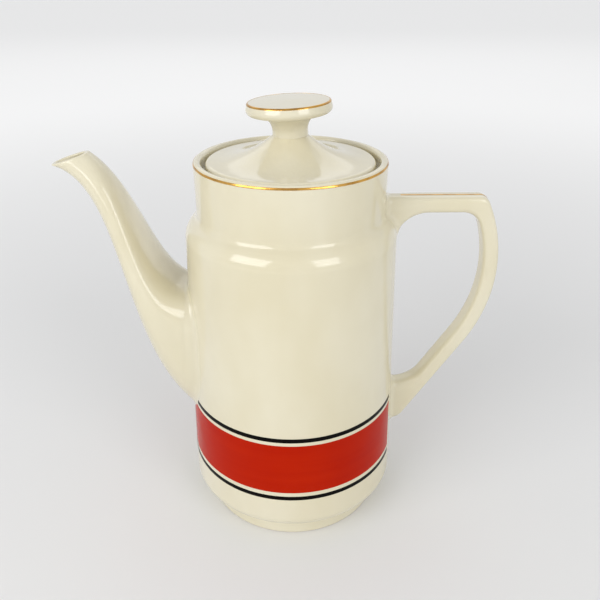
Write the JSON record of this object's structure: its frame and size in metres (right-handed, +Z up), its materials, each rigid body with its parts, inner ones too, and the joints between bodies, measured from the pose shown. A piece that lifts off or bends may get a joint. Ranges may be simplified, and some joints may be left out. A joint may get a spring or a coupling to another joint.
{
  "type": "coffee pot",
  "caption": "Tall glazed earthenware coffee pot with a swan-neck spout, an ear handle, painted bands and a lift-off lid with a mushroom knob.",
  "frame": {"origin": "middle of the foot ring, on the surface that the pot stands on", "axes": "+Z up along the pot's axis, -X towards the spout, +X towards the handle, Y across the pot"},
  "size_m": [0.2185, 0.113, 0.2221],
  "materials": {
    "cream_glaze": "glossy warm cream glaze",
    "red_enamel": "glossy orange-red enamel",
    "black_enamel": "glossy black enamel",
    "gilding": "thin burnished gilding"
  },
  "bodies": {
    "pot": {"pot_body": "cream_glaze", "spout": "cream_glaze", "handle": "cream_glaze", "red_band": "red_enamel", "upper_black_line": "black_enamel", "lower_black_line": "black_enamel", "rim_gold_line": "gilding", "handle_gold_line": "gilding"},
    "cover": {"lid": "cream_glaze", "knob": "cream_glaze", "knob_gold_line": "gilding"}
  },
  "joints": [
    {"name": "lid_lift", "type": "slide", "parent": "pot", "child": "cover", "axis": [0, 0, 1], "range_m": [0, 0.04]}
  ]
}
